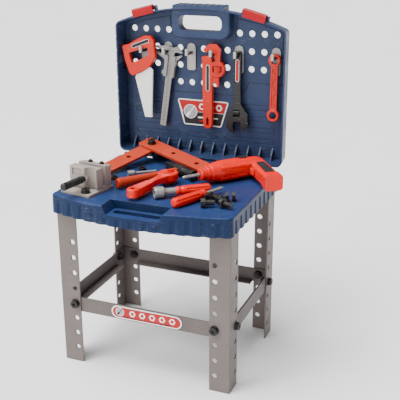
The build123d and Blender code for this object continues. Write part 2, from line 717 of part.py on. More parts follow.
def vise_place():
    return lying(*VISE, VISE_ANGLE)


def vise_base():
    """Base plate with the fixed jaw block; the sliding jaw runs in front of it."""
    body = block(-33, 33, -37, 34, 0, 5)
    body = fillet(body.edges().filter_by(Axis.Z), 3)
    for y0, y1, z1 in ((15, 20, 46), (20, 24, 42.5), (24, 31, 44.5)):
        body += block(-31, 31, y0, y1, 4, z1)
    for side in (-1, 1):
        body += block(side * 28.5 - 2.5, side * 28.5 + 2.5, -4, 16, 4, 9)
    body -= bar_y(5.1, 5, 40, 0, VISE_SCREW_Z)
    body -= cyl(4.9, 10, *VISE_BOLT_AT, -2)
    return vise_place() * body


def vise_jaw():
    """Sliding jaw: a block with a concave channel down its right side, over the bolt head."""
    body = block(-31, 31, -12, 6, 9.3, 45)
    body = fillet(body.faces().sort_by(Axis.Y)[0].edges(), 1.5)
    body += block(-25.7, 25.7, -10, 6, 5.3, 10)
    body -= cyl(12.5, 60, 16.5, -13)
    body -= block(-24, -4, -13, -10.4, 30, 42)
    body += bar_y(8.5, -11, 5, 0, VISE_SCREW_Z)
    body -= bar_y(5.2, -20, 8, 0, VISE_SCREW_Z)
    return vise_place() * body


def vise_screw():
    """Black screw with coarse thread rings and a round head."""
    profile = [(-68, 5.5), (-66, 6.8), (-60, 6.8), (-58, 5)]
    for turn in range(7):
        x = -58 + 6 * turn
        profile += [(x + 1, 6.9), (x + 3, 6.9), (x + 4, 4.5), (x + 6, 4.5)]
    profile += [(-14, 5.0), (36, 5.0)]
    body = Pos(0, 0, VISE_SCREW_Z) * Rot(0, 0, 90) * turned(profile)
    return vise_place() * body


def vise_bolt():
    """Bolt that holds the base plate, head up; its shank ends in the plate."""
    return vise_place() * Pos(*VISE_BOLT_AT, 5) * Rot(180, 0, 0) * bolt(4.6)


# ---------------------------------------------------------------- planks
PLANK_W = 34.5
PLANK_T = 5.0
PLANK_PITCH = 64.0
PLANK_END = 22.0
PLANK_JOINT = (-92.6, 121.8, 378.0)
PLANK_TILT = Rot(10.6, 3.4, 0)


def plank(angle, level):
    """Three-hole plank; its joint hole is at the plank frame's origin."""
    length = 2 * PLANK_PITCH + 2 * PLANK_END
    body = Pos(length / 2 - PLANK_END, 0, level - PLANK_T / 2) * Box(length, PLANK_W, PLANK_T)
    body = fillet(body.edges().filter_by(Axis.Z), 3)
    for k in range(3):
        body -= cyl(4.9, 20, k * PLANK_PITCH, 0, -15)
    return Pos(*PLANK_JOINT) * PLANK_TILT * Rot(0, 0, angle) * body


def plank_bolt():
    return Pos(*PLANK_JOINT) * PLANK_TILT * Rot(180, 0, 0) * bolt(24)


def plank_nut():
    return Pos(*PLANK_JOINT) * PLANK_TILT * Pos(0, 0, -2 * PLANK_T - 0.2) * Rot(180, 0, 0) * nut()


# ---------------------------------------------------------------- hammer, ratchet and drivers
HAMMER = (2.0, 48.0)
HAMMER_ANGLE = -122.5


def hammer_head():
    """Claw hammer head lying on its side: round face at one end, curved claw at the other."""
    face = Rot(0, 0, 90) * turned([(-48, 10.5), (-41, 10.5), (-38, 8.5), (-24, 8.0), (-13, 9.5), (12, 9.5), (16, 8)])
    claw = [(-9, 12), (9, 12), (8, 24), (2, 34), (-5, 41), (-8, 40), (-6, 32), (-8, 22)]
    body = Pos(0, 0, 11) * face + slab(claw, 4, 18)
    body -= block(-20, 10, 26, 50, 9.5, 12.5)
    body -= Pos(-10, 0, 11) * Rot(0, 90, 0) * Cylinder(5.3, 30)
    return lying(*HAMMER, TABLE_TOP, HAMMER_ANGLE + 180) * body


def hammer_handle():
    profile = [(2, 5.2), (10, 5.2), (11, 6.5), (40, 5.8), (90, 7.5), (130, 9), (136, 9.4), (140, 8.4)]
    return lying(*HAMMER, TABLE_TOP + 11, HAMMER_ANGLE) * turned(profile)


RATCHET = (1.0, -6.0)
RATCHET_ANGLE = -101.0


def ratchet_handle():
    """Ratchet with a round head, a ribbed grip and a hanging hole."""
    head = cyl(19, 15, 0, 0, 8)
    head = chamfer(head.edges().filter_by(GeomType.CIRCLE), 1.8)
    neck = slab([(12, -11), (40, -6), (62, -6.5), (62, 6.5), (40, 6), (12, 11)], 10, 21)
    grip = slab([(58, -8.5), (108, -11), (108, 11), (58, 8.5)], 7, 22) + cyl(11, 15, 108, 0, 7)
    grip = chamfer(grip.faces().sort_by(Axis.Z)[-1].edges(), 1.6)
    for k in range(7):
        x = 64 + 5.4 * k
        grip -= Pos(x, 0, 22.6) * Rot(90, 0, 0) * Cylinder(1.9, 30)
        for side in (-1, 1):
            grip -= cyl(1.7, 20, x, side * (9.6 + 0.05 * (x - 58)), 5)
    body = head + neck + grip
    body -= cyl(4.5, 20, 108, 0, 5)
    body -= cyl(8.1, 40, 0, 0, 0)
    return lying(*RATCHET, TABLE_TOP, RATCHET_ANGLE) * body


def ratchet_drive():
    """Drive: round hub in the head, knob below with a square end."""
    body = cyl(8.0, 13, 0, 0, 7.6) + cyl(9.5, 4.3, 0, 0, 3.4) + Pos(0, 0, 2) * Box(9, 9, 3.6)
    return lying(*RATCHET, TABLE_TOP + 0.1, RATCHET_ANGLE) * body


def ratchet_lever():
    """Reversing lever on top of the drive."""
    body = cyl(7.5, 3.4, 0, 0, 20.8) + slab([(-2.6, -2.6), (12, -1.6), (12, 1.6), (-2.6, 2.6)], 23.4, 27)
    return lying(*RATCHET, TABLE_TOP + 0.1, RATCHET_ANGLE + 150) * body


def small_nut_driver():
    """Small all-metal-look socket on a rod."""
    profile = [(0, 6), (12, 6), (14, 4.5), (16, 2.6), (56, 2.6), (57, 2)]
    body = turned(profile) - bar_x(3.6, -1, 8, 0, 0)
    return lying(-88, 3, TABLE_TOP + 6.1, 40) * body


NUT_DRIVER = (12.0, -92.0)
NUT_DRIVER_ANGLE = 38.0


def nut_driver_shaft():
    profile = [(0, 10.2), (3, 10.6), (16, 10.6), (20, 7.2), (23, 6.6), (62, 6.6)]
    body = turned(profile)
    socket = Rot(0, 90, 0) * extrude(RegularPolygon(7.4, 6, major_radius=False), amount=14)
    return lying(*NUT_DRIVER, TABLE_TOP + 10.7, NUT_DRIVER_ANGLE) * (body - Pos(-1, 0, 0) * socket)


def fluted_handle(start, end, r):
    """Fluted plastic grip along X with a domed butt."""
    long = end - start
    profile = [(start, r * 0.75), (start + 5, r * 0.95), (start + 10, r * 0.8), (start + 15, r * 0.97),
               (start + 20, r), (end - 6, r), (end - 2, r * 0.85), (end, r * 0.55)]
    body = turned(profile)
    for k in range(6):
        flute = Rot(k * 60, 0, 0) * Pos(start + 22 + long / 2, 0, r * 1.05) * Rot(0, 90, 0)
        body -= flute * Cylinder(r * 0.24, long + 4)
    return body


def nut_driver_handle():
    body = fluted_handle(38, 104, 8.6) - bar_x(6.65, 30, 62, 0, 0)
    return lying(*NUT_DRIVER, TABLE_TOP + 10.7, NUT_DRIVER_ANGLE) * body


SCREWDRIVER = (62.0, -127.0)
SCREWDRIVER_ANGLE = 65.5


def screwdriver_handle():
    body = Pos(78, 0, 0) * Rot(0, 0, 180) * fluted_handle(0, 76, 9.0) - bar_x(3.0, 50, 90, 0, 0)
    return lying(*SCREWDRIVER, TABLE_TOP + 9.1, SCREWDRIVER_ANGLE) * body


def screwdriver_shaft():
    body = turned([(50, 2.95), (112, 2.95), (116, 3.4), (120, 2.4), (124, 0.8)])
    return lying(*SCREWDRIVER, TABLE_TOP + 9.1, SCREWDRIVER_ANGLE) * body


# ---------------------------------------------------------------- drill
DRILL = (60.0, 8.0)
DRILL_ANGLE = 51.5
DRILL_MID = TABLE_TOP + 20.5
TRIGGER_AT = 38.0
PAD_AT = 62.0
BADGE_AT = 92.0
DRILL_HANDLE = (121.0, 0.0)
DRILL_HANDLE_LEAN = -106.0
DRILL_HANDLE_LENGTH = 112.0


def drill_place():
    return lying(*DRILL, DRILL_MID, DRILL_ANGLE)


def drill_solid(shrink):
    """Barrel and handle as one solid, shrunk for the hollow inside."""
    s = shrink
    profile = [(8 + s, 13 - s), (14, 14.5 - s), (18, 14.5 - s), (20, 16.5 - s), (40, 20 - s), (70, 20 - s),
               (100, 18.5 - s), (124, 16.5 - s), (134 - s, 13 - s)]
    barrel = turned(profile)
    belly = Pos(76, -8, 0) * Box(84 - 2 * s, 22 - 2 * s, 27 - 2 * s)
    belly = fillet(belly.edges().filter_by(Axis.X), 5 - s / 2)
    long = DRILL_HANDLE_LENGTH
    grip = Pos(long / 2, 0, 0) * Box(long - 2 * s, 31 - 2 * s, 27 - 2 * s)
    grip = fillet(grip.edges().filter_by(Axis.X), 6 - s / 2)
    heel = Pos(long - 9, 0, 0) * Box(20 - 2 * s, 34 - 2 * s, 30 - 2 * s)
    heel = fillet(heel.edges().filter_by(Axis.X), 6 - s / 2)
    grip = Pos(*DRILL_HANDLE, 0) * Rot(0, 0, DRILL_HANDLE_LEAN) * (grip + heel)
    return barrel + belly + grip


def drill_bodies():
    hollow = drill_solid(2.4)
    shell = drill_solid(0) - hollow
    shell -= bar_x(6.3, 0, 30, 0, 0)
    # trigger window in the front of the handle
    window = Pos(*DRILL_HANDLE, 0) * Rot(0, 0, DRILL_HANDLE_LEAN)
    shell -= window * Pos(TRIGGER_AT, -16, 0) * Box(20, 14, 10.6)
    # pocket for the grip pad
    shell -= window * Pos(PAD_AT, 1, 13.5) * Box(52.4, 15.4, 1.6)
    shell -= Pos(BADGE_AT, 3, 19) * Box(16.4, 12.4, 6.4)
    big = 400
    upper = shell & (Pos(0, 0, big / 2) * Box(big, big, big))
    lower = shell & (Pos(0, 0, -big / 2) * Box(big, big, big))
    return upper, lower


def drill_handle_place():
    return drill_place() * Pos(*DRILL_HANDLE, 0) * Rot(0, 0, DRILL_HANDLE_LEAN)


def drill_trigger():
    body = Pos(TRIGGER_AT, -14.5, 0) * Box(18.6, 12, 10)
    body = fillet(body.edges().filter_by(Axis.Z), 2.5)
    return drill_handle_place() * body


def drill_grip_pad():
    return drill_handle_place() * Pos(PAD_AT, 1, 13.4) * Box(52, 15, 1.4)


def drill_badge():
    return drill_place() * Pos(BADGE_AT, 3, 18.2) * Box(16, 12, 4.2)


def drill_chuck():
    """Ringed nose that turns with the bit."""
    profile = [(-2, 9), (0, 11.5), (2.4, 11.5), (3, 10.5), (3.6, 11.8), (5.6, 11.8), (6.2, 12.4), (7.7, 12.4)]
    body = turned(profile) + bar_x(6.2, 6, 26, 0, 0)
    return drill_place() * (body - bar_x(3.2, -10, 14, 0, 0))


def drill_bit():
    body = bar_x(3.2, -30, 14, 0, 0)
    body += turned([(-38, 1.2), (-34, 3.2), (-30, 3.2)])
    for k in range(6):
        for side in (0, 180):
            ring = Pos(-30 + 5 * k, 0, 0) * Rot(side, 0, 0) * Rot(0, 28, 0) * Pos(0, 0, 3.6) * Rot(90, 0, 0)
            body -= ring * Cylinder(1.3, 12)
    return drill_place() * body


def drill_motor():
    """Small motor with its spindle, inside the barrel."""
    return drill_place() * (bar_x(12.5, 36, 74, 0, 0) + bar_x(2.0, 30, 36, 0, 0) + bar_x(17.55, 50, 54, 0, 0))


# ---------------------------------------------------------------- loose fasteners
LOOSE_BOLTS = ((112, -100, 25), (128, -74, 150), (144, -92, -20), (108, -70, 100))
LOOSE_NUTS = ((150, -50, 0), (-80, 50, 1), (-104, -21, 1), (139, -55, 0))


def loose_bolts():
    """Bolts lying on their sides."""
    solids = []
    for x, y, angle in LOOSE_BOLTS:
        solids.append(lying(x, y, TABLE_TOP + 8.7, angle) * Rot(0, 90, 0) * bolt(16))
    return group(solids)


def loose_nuts():
    """Nuts lying flat or standing on edge."""
    solids = []
    for x, y, flat in LOOSE_NUTS:
        if flat:
            solids.append(Pos(x, y, TABLE_TOP) * nut())
        else:
            solids.append(lying(x, y, TABLE_TOP + 8.7, 200) * Rot(0, 90, 0) * nut())
    return group(solids)


# ---------------------------------------------------------------- write everything
def main():
    save("table_shell", table_shell())
    save("lid_shell", lid_shell())
    save("hinge_pins", hinge_pins())
    save("latch_left", latch_place(-1) * latch())
    save("latch_right", latch_place(1) * latch())
    save("latch_pins", latch_pins())
    for name, sx, sy in (("front_left", -1, -1), ("front_right", 1, -1), ("back_left", -1, 1),
                         ("back_right", 1, 1)):
        save("leg_" + name, leg(sx, sy))
    save("brace_front", brace_long(-1))
    save("brace_back", brace_long(1))
    save("brace_left", brace_side(-1))
    save("brace_right", brace_side(1))
    save("brace_bolts", brace_bolts())
    save("brace_nuts", brace_nuts())
    save("brace_plate", brace_plate())
    save("lid_sign", lid_sign())
    save("peg_hooks", peg_hooks())
    save("saw_handle", saw_handle())
    save("saw_blade", saw_blade())
    save("caliper_beam", caliper_beam())
    save("caliper_slider", caliper_slider())
    save("pipe_wrench_body", pipe_wrench_body())
    save("pipe_wrench_jaw", pipe_wrench_jaw())
    save("pipe_wrench_wheel", pipe_wrench_wheel())
    save("adjustable_wrench_body", adjustable_wrench_body())
    save("adjustable_wrench_jaw", adjustable_wrench_jaw())
    save("adjustable_wrench_worm", adjustable_wrench_worm())
    save("ring_spanner", ring_spanner())
    save("vise_base", vise_base())
    save("vise_jaw", vise_jaw())
    save("vise_screw", vise_screw())
    save("vise_bolt", vise_bolt())
    save("plank_upper", plank(-22.5, 0))
    save("plank_lower", plank(-111.0, -PLANK_T - 0.1))
    save("plank_bolt", plank_bolt())
    save("plank_nut", plank_nut())
    save("hammer_head", hammer_head())
    save("hammer_handle", hammer_handle())
    save("ratchet_handle", ratchet_handle())
    save("ratchet_drive", ratchet_drive())
    save("ratchet_lever", ratchet_lever())
    save("small_nut_driver", small_nut_driver())
    save("nut_driver_shaft", nut_driver_shaft())
    save("nut_driver_handle", nut_driver_handle())
    save("screwdriver_shaft", screwdriver_shaft())
    save("screwdriver_handle", screwdriver_handle())
    upper, lower = drill_bodies()
    save("drill_body_upper", drill_place() * upper)
    save("drill_body_lower", drill_place() * lower)
    save("drill_trigger", drill_trigger())
    save("drill_chuck", drill_chuck())
    save("drill_bit", drill_bit())
    save("drill_grip_pad", drill_grip_pad())
    save("drill_badge", drill_badge())
    save("drill_motor", drill_motor())
    save("loose_bolts", loose_bolts())
    save("loose_nuts", loose_nuts())


main()
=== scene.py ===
"""Looks of the toy tool bench: plastics, printed signs and labels, around the fixed CAD frame."""

import math

import bmesh
import bpy
from mathutils import Matrix, Vector


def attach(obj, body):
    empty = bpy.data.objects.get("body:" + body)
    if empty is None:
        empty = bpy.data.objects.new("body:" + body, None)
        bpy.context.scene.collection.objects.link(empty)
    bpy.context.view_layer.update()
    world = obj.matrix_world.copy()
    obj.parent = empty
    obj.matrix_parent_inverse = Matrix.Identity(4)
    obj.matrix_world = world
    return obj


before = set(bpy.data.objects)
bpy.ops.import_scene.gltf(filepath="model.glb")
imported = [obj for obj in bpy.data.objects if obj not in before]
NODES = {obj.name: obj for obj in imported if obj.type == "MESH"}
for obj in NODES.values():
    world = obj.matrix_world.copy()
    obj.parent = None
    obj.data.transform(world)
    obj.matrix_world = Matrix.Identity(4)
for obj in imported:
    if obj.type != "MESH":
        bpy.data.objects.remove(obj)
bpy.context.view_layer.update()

# The bench is drawn around its own mid-plane; in the shared frame that plane is off the origin (mm).
SHIFT_X = -18.8
SHIFT_Y = -8.0
# height of the bench top (mm)
TABLE_TOP = 343


def at(x, y, z):
    """A point of the bench, in millimetres, as a point of the shared frame in metres."""
    return Vector(((x + SHIFT_X) / 1000, (y + SHIFT_Y) / 1000, z / 1000))


def rgb(r, g, b):
    """A colour given as eight-bit sRGB, as linear values."""
    def linear(c):
        return c / 255 / 12.92 if c <= 10 else ((c / 255 + 0.055) / 1.055) ** 2.4
    return (linear(r), linear(g), linear(b), 1.0)


def shade(colour, k):
    """The colour made k times as bright."""
    return tuple(min(1.0, c * k) for c in colour[:3]) + (1.0,)


# ---------------------------------------------------------------- materials
class Graph:
    """Short ways to add and wire shader nodes."""

    def __init__(self, name):
        self.mat = bpy.data.materials.new(name)
        self.mat.use_nodes = True
        self.tree = self.mat.node_tree
        self.bsdf = next(n for n in self.tree.nodes if n.type == "BSDF_PRINCIPLED")
        self.coord = self.add("ShaderNodeTexCoord").outputs["Object"]

    def add(self, kind, **values):
        """New node of a kind, with its own settings."""
        node = self.tree.nodes.new(kind)
        for key, value in values.items():
            setattr(node, key, value)
        return node

    def put(self, socket, value):
        """Link another node's output into a socket, or set its value."""
        if isinstance(value, bpy.types.NodeSocket):
            self.tree.links.new(value, socket)
        else:
            socket.default_value = value

    def noise(self, scale, detail, stretch=(1, 1, 1), turn=(0, 0, 0)):
        """Noise over the piece, about 0..1."""
        move = self.add("ShaderNodeMapping")
        self.put(move.inputs["Vector"], self.coord)
        move.inputs["Scale"].default_value = stretch
        move.inputs["Rotation"].default_value = turn
        tex = self.add("ShaderNodeTexNoise")
        self.put(tex.inputs["Vector"], move.outputs["Vector"])
        tex.inputs["Scale"].default_value = scale
        tex.inputs["Detail"].default_value = detail
        return tex.outputs["Fac"]

    def ramp(self, value, low, high, to_low=0.0, to_high=1.0):
        """The value's stretch from low to high, mapped to another stretch and clamped."""
        node = self.add("ShaderNodeMapRange", clamp=True)
        self.put(node.inputs["Value"], value)
        node.inputs["From Min"].default_value = low
        node.inputs["From Max"].default_value = high
        node.inputs["To Min"].default_value = to_low
        node.inputs["To Max"].default_value = to_high
        return node.outputs["Result"]

    def math(self, op, a, b):
        node = self.add("ShaderNodeMath", operation=op)
        self.put(node.inputs[0], a)
        self.put(node.inputs[1], b)
        return node.outputs["Value"]

    def mix(self, fac, a, b):
        node = self.add("ShaderNodeMix", data_type="RGBA")
        self.put(node.inputs["Factor"], fac)
        self.put(node.inputs[6], a)
        self.put(node.inputs[7], b)
        return node.outputs[2]

    def edges(self, radius):
        """Rounded normal, and a 0..1 mask of the sharp edges."""
        bevel = self.add("ShaderNodeBevel", samples=4)
        bevel.inputs["Radius"].default_value = radius
        geo = self.add("ShaderNodeNewGeometry")
        dot = self.add("ShaderNodeVectorMath", operation="DOT_PRODUCT")
        self.put(dot.inputs[0], bevel.outputs["Normal"])
        self.put(dot.inputs[1], geo.outputs["Normal"])
        mask = self.ramp(dot.outputs["Value"], 0.995, 0.90)
        return bevel.outputs["Normal"], mask


# lengths in the plastics (m): how far the painted shade in hollows and in seams reaches, how soft the ends of a
# band of painted shade are, how deep bumps go
HOLLOW_SHADE_REACH = 0.012
GROOVE_SHADE_REACH = 0.0025
SHADE_BAND_BLUR = 0.0003
BUMP_HEIGHT = 0.0006
# noise scale of the finest grain, and the tone that scuffs pale towards, and the edges too, as wear and as a
# painted highlight
GRAIN_SCALE = 900.0
WEAR_AND_HIGHLIGHT_TONE = (0.72, 0.70, 0.68)


def plastic(name, colour, rough, grain, vary=0.10, scuff=0.5, edge=0.45, edge_radius=0.0008, metallic=0.0,
            coat=0.0, hollow_shade_amount=0.35, specular=0.30, shade_band=None, side_shade=1.0):
    """Moulded plastic: mottled colour, fine grain, scuffs, paler edges (wear and a painted highlight) and
    painted shade in the corners.
    A shade band (axis, low, high, colour) paints shade over one stretch of the piece, in mm;
    a side shade below 1 darkens the faces that don't look up, as painted shade."""
    g = Graph(name)
    normal, edge_mask = g.edges(edge_radius)
    mottle = g.ramp(g.noise(14, 4), 0.32, 0.68)
    body = g.mix(mottle, shade(colour, 1 - vary), shade(colour, 1 + vary))
    flow = g.ramp(g.noise(5, 2, stretch=(1, 1, 4)), 0.4, 0.62)
    body = g.mix(g.math("MULTIPLY", flow, 0.35), body, shade(colour, 1 + vary * 1.6))
    # painted shade: the faces that don't look up are darkened
    if side_shade < 1.0:
        facing = g.add("ShaderNodeSeparateXYZ")
        g.put(facing.inputs["Vector"], g.add("ShaderNodeNewGeometry").outputs["Normal"])
        body = g.mix(g.ramp(facing.outputs["Z"], 0.35, 0.85, 1.0, 0.0), body, shade(colour, side_shade))

    # scuffs: two sets of long thin marks, only in some patches
    marks_a = g.ramp(g.noise(70, 3, stretch=(1, 6, 9), turn=(0.3, 0.5, 0.4)), 0.60, 0.68)
    marks_b = g.ramp(g.noise(90, 3, stretch=(8, 1, 5), turn=(0.7, 0.2, 1.1)), 0.62, 0.70)
    patch = g.ramp(g.noise(22, 2), 0.48, 0.62)
    scuffs = g.math("MULTIPLY", g.math("MAXIMUM", marks_a, marks_b), g.math("MULTIPLY", patch, scuff))
    pale = tuple(0.65 * min(1.0, 1.35 * c) + 0.35 * w for c, w in zip(colour[:3], WEAR_AND_HIGHLIGHT_TONE)) + (1.0,)
    body = g.mix(g.math("MULTIPLY", scuffs, 0.45), body, pale)

    # paler edges, broken up: wear, and a painted highlight along the rims
    broken = g.ramp(g.noise(160, 3), 0.36, 0.6)
    body = g.mix(g.math("MULTIPLY", edge_mask, g.math("MULTIPLY", broken, edge)), body, pale)

    # painted shade where surfaces meet, broken up by noise, and a darker painted shade line in narrow seams and
    # grooves
    hollow = g.add("ShaderNodeAmbientOcclusion", samples=4)
    hollow.inputs["Distance"].default_value = HOLLOW_SHADE_REACH
    shut = g.ramp(hollow.outputs["AO"], 0.75, 0.15)
    hollow_shade = g.math("MULTIPLY", shut, g.math("MULTIPLY", g.ramp(g.noise(60, 4), 0.3, 0.7, 0.5, 1.0), hollow_shade_amount))
    body = g.mix(hollow_shade, body, shade(colour, 0.30))
    groove_shade = g.add("ShaderNodeAmbientOcclusion", samples=4)
    groove_shade.inputs["Distance"].default_value = GROOVE_SHADE_REACH
    body = g.mix(g.ramp(groove_shade.outputs["AO"], 0.85, 0.35, 0.0, 0.75), body, shade(colour, 0.22))
    # painted shade over one stretch of the piece, in the given colour
    if shade_band:
        axis, low_mm, high_mm, tone = shade_band
        low, high = low_mm / 1000, high_mm / 1000
        split = g.add("ShaderNodeSeparateXYZ")
        g.put(split.inputs["Vector"], g.coord)
        along = split.outputs[axis]
        past_low = g.ramp(along, low - SHADE_BAND_BLUR, low + SHADE_BAND_BLUR)
        before_high = g.ramp(along, high + SHADE_BAND_BLUR, high - SHADE_BAND_BLUR)
        body = g.mix(g.math("MULTIPLY", past_low, before_high), body, tone)
    g.put(g.bsdf.inputs["Base Color"], body)

    gloss = g.ramp(g.noise(34, 3), 0.3, 0.7, rough - 0.06, rough + 0.07)
    gloss = g.math("ADD", gloss, g.math("MULTIPLY", scuffs, 0.25))
    gloss = g.math("ADD", gloss, g.math("MULTIPLY", hollow_shade, 0.15))
    g.put(g.bsdf.inputs["Roughness"], gloss)
    g.bsdf.inputs["Metallic"].default_value = metallic
    g.bsdf.inputs["Specular IOR Level"].default_value = specular
    g.bsdf.inputs["Coat Weight"].default_value = coat
    g.bsdf.inputs["Coat Roughness"].default_value = 0.12

    # fine grain over slow waves, with the scuffs cut in
    height = g.math("ADD", g.noise(GRAIN_SCALE, 2), g.math("MULTIPLY", g.noise(38, 2), 1.6))
    height = g.math("SUBTRACT", height, g.math("MULTIPLY", scuffs, 1.2))
    bump = g.add("ShaderNodeBump")
    bump.inputs["Strength"].default_value = grain
    bump.inputs["Distance"].default_value = BUMP_HEIGHT
    g.put(bump.inputs["Height"], height)
    g.put(bump.inputs["Normal"], normal)
    g.put(g.bsdf.inputs["Normal"], bump.outputs["Normal"])
    return g.mat


def ink(colour, vary):
    """Looks of a printed layer: smooth, without paler edges."""
    return dict(colour=colour, rough=0.34, vary=vary, grain=0.04, edge=0.0, edge_radius=0.0002, hollow_shade_amount=0.1,
                scuff=0.25)


LEG_GREY = rgb(104, 95, 92)

# painted shade on the hooks' arms, between the bright tip and the backing plate (shared frame, mm)
HOOK_TIP_Y = 150.5 + SHIFT_Y
HOOK_PLATE_Y = 171.8 + SHIFT_Y

LOOKS = {
    # the table's faces that don't look up carry painted shade
    "table_blue": dict(colour=rgb(31, 53, 95), rough=0.34, grain=0.10, edge=0.26, specular=0.11,
                       side_shade=0.50),
    "lid_blue": dict(colour=rgb(34, 50, 82), rough=0.42, grain=0.14, edge=0.20),
    "leg_grey": dict(colour=LEG_GREY, rough=0.46, vary=0.07, grain=0.14, edge=0.35),
    "brace_grey": dict(colour=shade(LEG_GREY, 0.80), rough=0.50, vary=0.08, grain=0.14, edge=0.35),
    "black": dict(colour=rgb(24, 22, 22), rough=0.40, vary=0.25, grain=0.18, edge=0.30, hollow_shade_amount=0.2),
    "black_soft": dict(colour=rgb(30, 28, 28), rough=0.62, vary=0.2, grain=0.30, edge=0.15, hollow_shade_amount=0.2),
    "tool_black": dict(colour=rgb(14, 13, 14), rough=0.24, vary=0.18, grain=0.08, edge=0.30, specular=0.4,
                       scuff=0.25),
    "orange": dict(colour=rgb(222, 22, 3), rough=0.25, vary=0.06, grain=0.06, coat=0.12, edge=0.14, hollow_shade_amount=0.5,
                   specular=0.18),
    "orange_dull": dict(colour=rgb(198, 30, 8), rough=0.40, vary=0.08, grain=0.12, edge=0.20, hollow_shade_amount=0.5),
    "terracotta": dict(colour=rgb(172, 50, 20), rough=0.48, vary=0.10, grain=0.16, edge=0.35, hollow_shade_amount=0.5),
    "red": dict(colour=rgb(160, 0, 16), rough=0.26, vary=0.05, grain=0.06, coat=0.08, edge=0.12,
                specular=0.15),
    "vise_grey": dict(colour=rgb(150, 139, 133), rough=0.44, vary=0.07, grain=0.15, edge=0.35, hollow_shade_amount=0.55),
    # the hooks' arms carry a band of painted shade
    "hook_grey": dict(colour=rgb(170, 168, 165), rough=0.30, vary=0.06, grain=0.10, edge=0.45, hollow_shade_amount=0.5,
                      shade_band=("Y", HOOK_TIP_Y, HOOK_PLATE_Y, rgb(44, 42, 42))),
    "silver": dict(colour=rgb(136, 134, 132), rough=0.36, vary=0.08, grain=0.10, metallic=0.35, edge=0.40),
    "tool_silver": dict(colour=rgb(150, 149, 146), rough=0.30, vary=0.08, grain=0.08, metallic=0.45),
    "white": dict(colour=rgb(244, 244, 242), rough=0.38, vary=0.03, grain=0.10, edge=0.15, hollow_shade_amount=0.25),
    "steel": dict(colour=rgb(170, 170, 172), rough=0.26, vary=0.06, grain=0.05, metallic=0.9, scuff=0.8),
    "print_white": ink(rgb(236, 236, 234), 0.02),
    "print_red": ink(rgb(172, 5, 14), 0.04),
    "print_black": ink(rgb(30, 29, 32), 0.12),
    "print_grey": ink(rgb(150, 156, 160), 0.04),
}
MATERIALS = {name: plastic(name, **look) for name, look in LOOKS.items()}

# which CAD nodes wear which material
WEARS = {
    "table_blue": ["table_shell"],
    "lid_blue": ["lid_shell"],
    "leg_grey": ["leg_front_left", "leg_front_right", "leg_back_left", "leg_back_right"],
    "brace_grey": ["brace_front", "brace_back", "brace_left", "brace_right"],
    "black": ["brace_bolts", "brace_nuts", "plank_bolt", "plank_nut", "vise_bolt", "vise_screw",
              "loose_bolts", "loose_nuts", "hammer_head"],
    "black_soft": ["drill_grip_pad", "drill_badge"],
    "tool_black": ["adjustable_wrench_body", "adjustable_wrench_jaw", "adjustable_wrench_worm"],
    "orange": ["drill_body_upper", "drill_body_lower", "drill_chuck", "drill_trigger", "screwdriver_handle",
               "nut_driver_handle", "ratchet_handle", "ratchet_drive", "ratchet_lever"],
    "orange_dull": ["saw_handle", "pipe_wrench_body", "pipe_wrench_jaw", "pipe_wrench_wheel", "ring_spanner"],
    "terracotta": ["plank_upper", "plank_lower", "hammer_handle"],
    "red": ["latch_left", "latch_right"],
    "vise_grey": ["vise_base", "vise_jaw"],
    "hook_grey": ["peg_hooks"],
    "silver": ["caliper_beam", "caliper_slider", "drill_motor"],
    "tool_silver": ["nut_driver_shaft", "screwdriver_shaft", "small_nut_driver", "drill_bit"],
    "white": ["saw_blade"],
    "steel": ["hinge_pins", "latch_pins"],
    "print_white": ["lid_sign", "brace_plate"],
}
for material, names in WEARS.items():
    for node in names:
        NODES[node].data.materials.clear()
        NODES[node].data.materials.append(MATERIALS[material])


# ---------------------------------------------------------------- thin flat pieces
# softening of a layer's upper rim, and thickness of a printed field (mm)
RIM = 0.12
FIELD = 0.25


def turned(degrees, axis):
    """Turn about an axis."""
    return Matrix.Rotation(math.radians(degrees), 4, axis)


def wall(x, z, y, turn=0.0):
    """Frame of a picture on an upright face that looks forward, centre at x, z."""
    return Matrix.Translation(at(x, y, z)) @ turned(90, "X") @ turned(turn, "Z")


def layer(name, outline, place, low, high, material, body):
    """One thin layer: an outline in mm, from height low to high over its place, with a softened rim."""
    mesh = bpy.data.meshes.new(name)
    bm = bmesh.new()
    centre = Vector((sum(p[0] for p in outline), sum(p[1] for p in outline))) / len(outline)
    soft = min(RIM, (high - low) * 0.5)
    rings = []
    for inset, z in ((0.0, low), (0.0, high - soft), (soft, high)):
        ring = []
        for x, y in outline:
            away = Vector((x, y)) - centre
            k = 1 - inset / max(away.length, 0.5)
            corner = ((centre.x + away.x * k) / 1000, (centre.y + away.y * k) / 1000, z / 1000)
            ring.append(bm.verts.new(corner))
        rings.append(ring)
    n = len(outline)
    for a, b in zip(rings, rings[1:]):
        for i in range(n):
            bm.faces.new((a[i], a[(i + 1) % n], b[(i + 1) % n], b[i]))
    bm.faces.new(rings[-1])
    bm.faces.new(list(reversed(rings[0])))
    bmesh.ops.recalc_face_normals(bm, faces=bm.faces)
    bmesh.ops.triangulate(bm, faces=[f for f in bm.faces if len(f.verts) > 4])
    bm.to_mesh(mesh)
    bm.free()
    mesh.transform(place)
    piece = bpy.data.objects.new(name, mesh)
    bpy.context.scene.collection.objects.link(piece)
    mesh.materials.append(MATERIALS[material])
    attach(piece, body)


def stadium(length, width, steps=10):
    """Bar with round ends, along x."""
    r = width / 2
    half = length / 2 - r
    points = []
    for sign in (1, -1):
        for k in range(steps + 1):
            a = math.radians(-90 + 180 * k / steps)
            points.append((sign * (half + r * math.cos(a)), sign * r * math.sin(a)))
    return points


def box_outline(half_x, half_y, y=0.0):
    """Rectangle around (0, y)."""
    return [(-half_x, y - half_y), (half_x, y - half_y), (half_x, y + half_y), (-half_x, y + half_y)]


